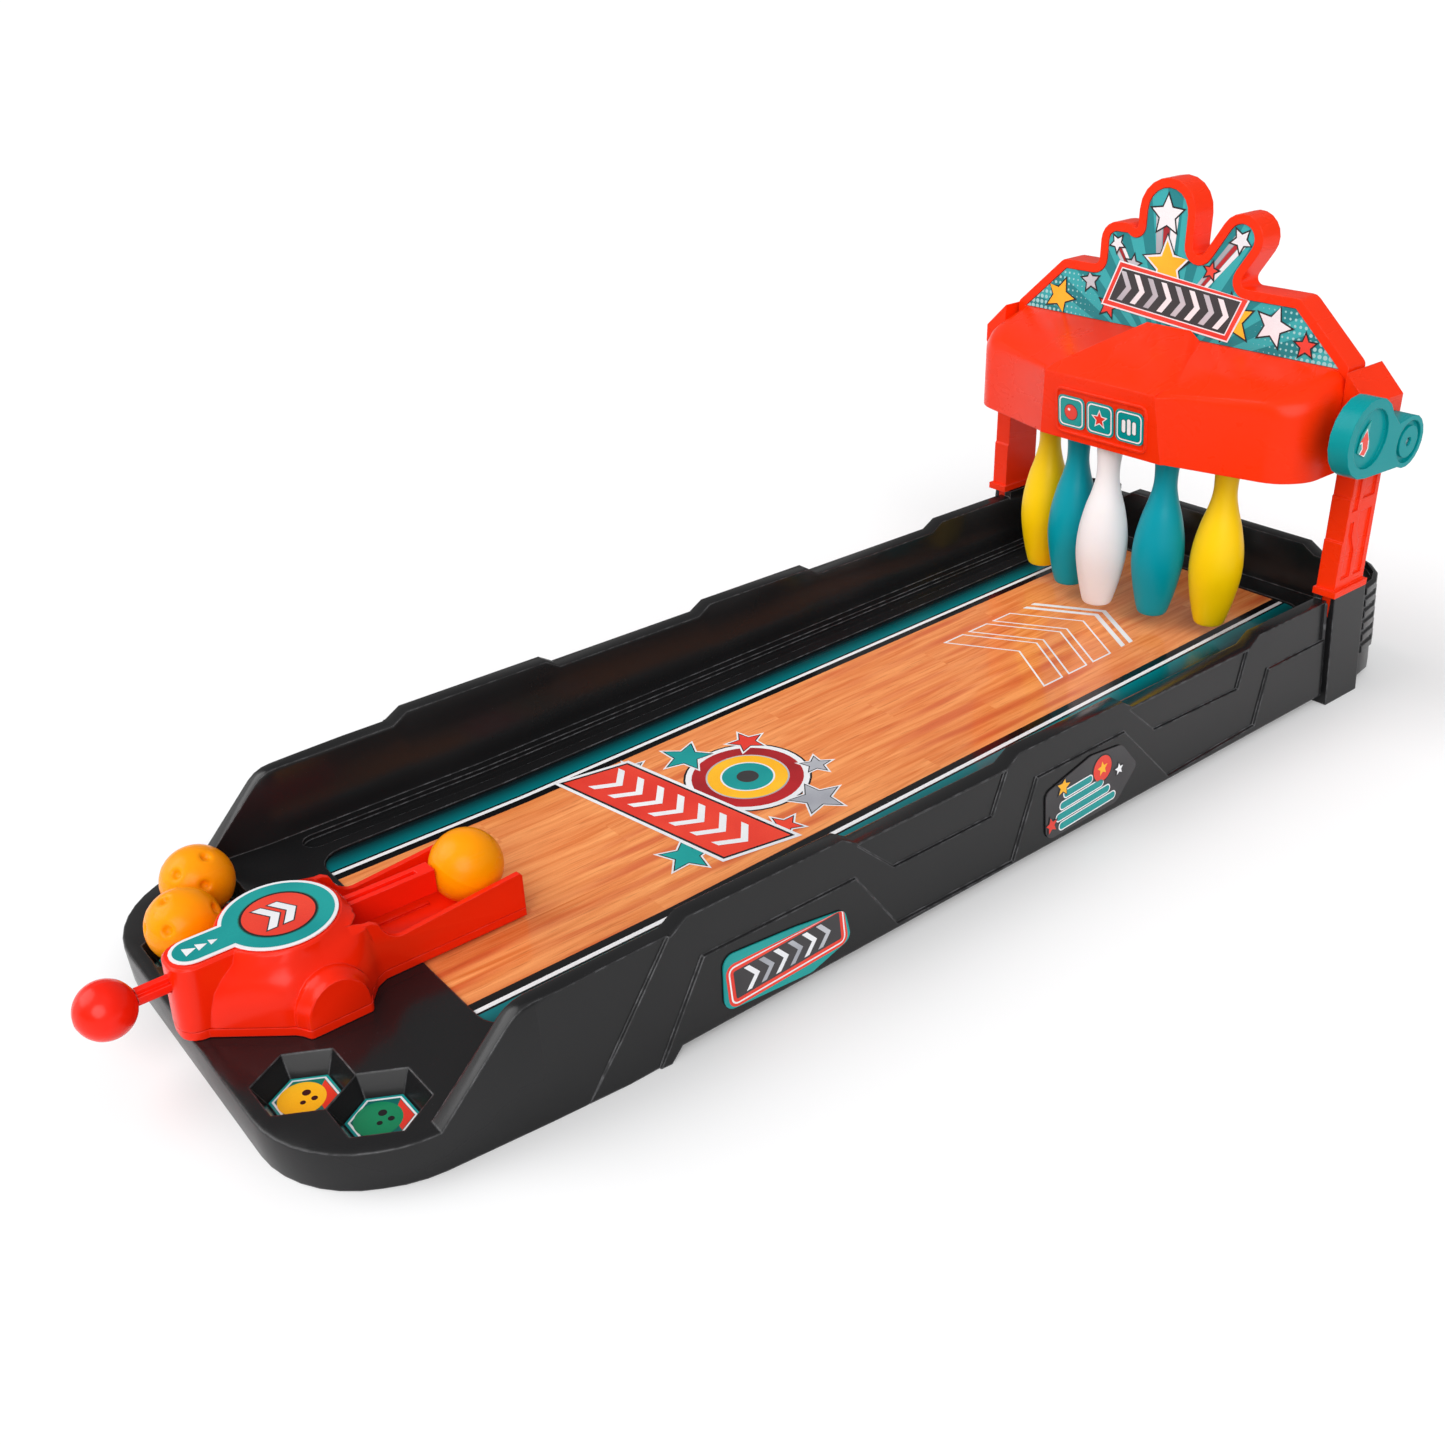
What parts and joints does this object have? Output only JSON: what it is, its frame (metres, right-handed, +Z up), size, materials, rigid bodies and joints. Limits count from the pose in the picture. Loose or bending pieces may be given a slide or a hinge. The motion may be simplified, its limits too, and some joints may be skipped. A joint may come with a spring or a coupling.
{
  "type": "tabletop bowling game",
  "caption": "Tabletop bowling game: a long walled tray with a lane, a spring launcher with a pull knob, swinging pins under a hood and a reset lever.",
  "frame": {"origin": "middle of the whole set's footprint, on the table", "axes": "+Y along the lane from the launcher to the pins, +X to the player's right, +Z up"},
  "size_m": [0.2452, 0.6658, 0.2479],
  "materials": {
    "black_plastic": "moulded black plastic, satin gloss",
    "orange_plastic": "moulded orange-red plastic, satin gloss",
    "red_plastic": "moulded red plastic",
    "yellow_ball": "moulded yellow-orange plastic",
    "teal_plastic": "moulded teal plastic",
    "yellow_plastic": "moulded yellow plastic",
    "white_plastic": "moulded white plastic",
    "steel": "bright steel",
    "wood_print": "glossy film printed with wood boards, stripes and chevrons",
    "teal_print": "glossy printed film in teal, orange and white"
  },
  "bodies": {
    "base": {"header_board": "orange_plastic", "header_decal": "teal_print", "hood_icon_left": "teal_print", "hood_icon_middle": "teal_print", "hood_icon_right": "teal_print", "hood_shell": "orange_plastic", "lane_decal": "wood_print", "pin_rack": "black_plastic", "pocket_decal_inner_left": "teal_print", "pocket_decal_inner_right": "teal_print", "pocket_decal_outer_left": "teal_print", "pocket_decal_outer_right": "teal_print", "post_left": "orange_plastic", "post_right": "orange_plastic", "side_badge_front": "teal_print", "side_badge_rear": "teal_print", "tray": "black_plastic"},
    "launcher": {"launcher_base_plate": "orange_plastic", "launcher_housing": "orange_plastic", "launcher_swivel_screw": "steel", "launcher_decal": "teal_print", "plunger_spring": "steel"},
    "plunger": {"plunger": "red_plastic", "plunger_knob": "red_plastic"},
    "ramp_ball": {"ramp_ball": "yellow_ball"},
    "spare_ball_inner": {"spare_ball_inner": "yellow_ball"},
    "spare_ball_outer": {"spare_ball_outer": "yellow_ball"},
    "pin_white": {"pin_white": "white_plastic", "pin_axle_white": "steel"},
    "pin_teal_left": {"pin_teal_left": "teal_plastic", "pin_axle_teal_left": "steel"},
    "pin_teal_right": {"pin_teal_right": "teal_plastic", "pin_axle_teal_right": "steel"},
    "pin_yellow_left": {"pin_yellow_left": "yellow_plastic", "pin_axle_yellow_left": "steel"},
    "pin_yellow_right": {"pin_yellow_right": "yellow_plastic", "pin_axle_yellow_right": "steel"},
    "reset_lever": {"reset_shaft": "black_plastic", "reset_lever": "teal_plastic", "lever_screw": "steel", "lever_decal": "white_plastic"}
  },
  "joints": [
    {"name": "launcher_swivel", "type": "hinge", "parent": "base", "child": "launcher", "pos_m": [-0.0046, -0.25522, 0.0173], "axis": [0, 0, 1], "range_deg": [-9, 9]},
    {"name": "plunger_pull", "type": "slide", "parent": "launcher", "child": "plunger", "axis": [0, -1, 0], "range_m": [0, 0.024], "stiffness_N_per_m": 90, "springref_m": -0.004, "deforming": ["plunger_spring"]},
    {"name": "ramp_ball_roll", "type": "slide", "parent": "launcher", "child": "ramp_ball", "axis": [0, 0.9998, 0.018], "range_m": [0, 0.36]},
    {"name": "spare_ball_inner_lift", "type": "slide", "parent": "base", "child": "spare_ball_inner", "axis": [0, 0, 1], "range_m": [0, 0.04]},
    {"name": "spare_ball_outer_lift", "type": "slide", "parent": "base", "child": "spare_ball_outer", "axis": [0, 0, 1], "range_m": [0, 0.04]},
    {"name": "pin_white_swing", "type": "hinge", "parent": "base", "child": "pin_white", "pos_m": [-0.0046, 0.21738, 0.12712], "axis": [1, 0, 0], "range_deg": [0, 75]},
    {"name": "pin_teal_left_swing", "type": "hinge", "parent": "base", "child": "pin_teal_left", "pos_m": [-0.0331, 0.22788, 0.12712], "axis": [1, 0, 0], "range_deg": [0, 75]},
    {"name": "pin_teal_right_swing", "type": "hinge", "parent": "base", "child": "pin_teal_right", "pos_m": [0.0239, 0.22788, 0.12712], "axis": [1, 0, 0], "range_deg": [0, 75]},
    {"name": "pin_yellow_left_swing", "type": "hinge", "parent": "base", "child": "pin_yellow_left", "pos_m": [-0.0616, 0.23838, 0.12712], "axis": [1, 0, 0], "range_deg": [0, 75]},
    {"name": "pin_yellow_right_swing", "type": "hinge", "parent": "base", "child": "pin_yellow_right", "pos_m": [0.0524, 0.23838, 0.12712], "axis": [1, 0, 0], "range_deg": [0, 75]},
    {"name": "reset_turn", "type": "hinge", "parent": "base", "child": "reset_lever", "pos_m": [-0.0046, 0.27538, 0.1394], "axis": [1, 0, 0], "range_deg": [0, 30]}
  ]
}
